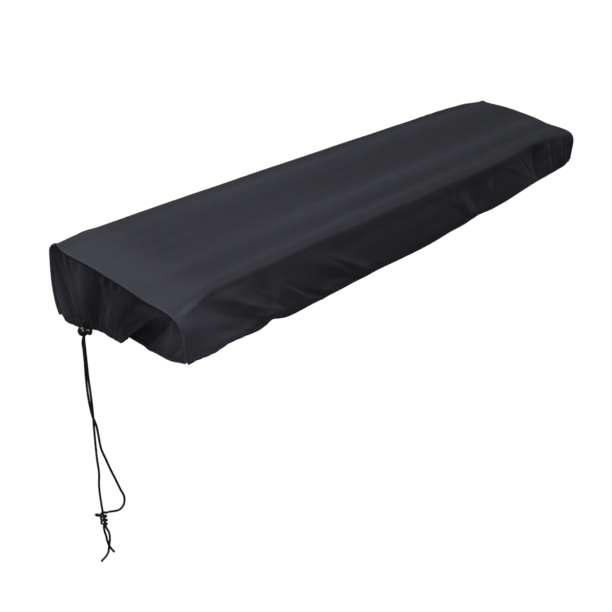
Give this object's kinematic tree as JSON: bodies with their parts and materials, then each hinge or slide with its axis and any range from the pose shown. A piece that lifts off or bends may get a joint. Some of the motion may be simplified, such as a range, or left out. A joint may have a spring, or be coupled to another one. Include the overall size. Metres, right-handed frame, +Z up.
{
  "type": "fitted keyboard cover",
  "caption": "Fitted stretch-cloth dust cover for a slim digital piano, with piped end seams, a gathered hem and a hanging drawstring with a sprung cord lock.",
  "frame": {"origin": "on the underside of the cloth's top, at mid length and mid depth, where the digital piano's top carries it", "axes": "+X along the length, from the drawstring's end; +Y to the back, which is the higher side; +Z up"},
  "size_m": [1.3549, 0.2806, 0.5526],
  "materials": {
    "cloth": "smooth black stretch cloth, matt with a faint sheen",
    "piping": "black piped seam",
    "cord": "black braided cord",
    "lock_plastic": "glossy black moulded plastic"
  },
  "bodies": {
    "cover": {"main_panel": "cloth", "left_end_panel": "cloth", "right_end_panel": "cloth", "left_piping": "piping", "right_piping": "piping", "cord_lock_body": "lock_plastic", "loop_strand": "cord", "straight_strand": "cord", "knot": "cord", "short_tail": "cord", "long_tail": "cord"},
    "button": {"cord_lock_button": "lock_plastic"}
  },
  "joints": [
    {"name": "button_press", "type": "slide", "parent": "cover", "child": "button", "axis": [-0.342, 0.9397, 0], "range_m": [0, 0.0025], "stiffness_N_per_m": 300}
  ]
}
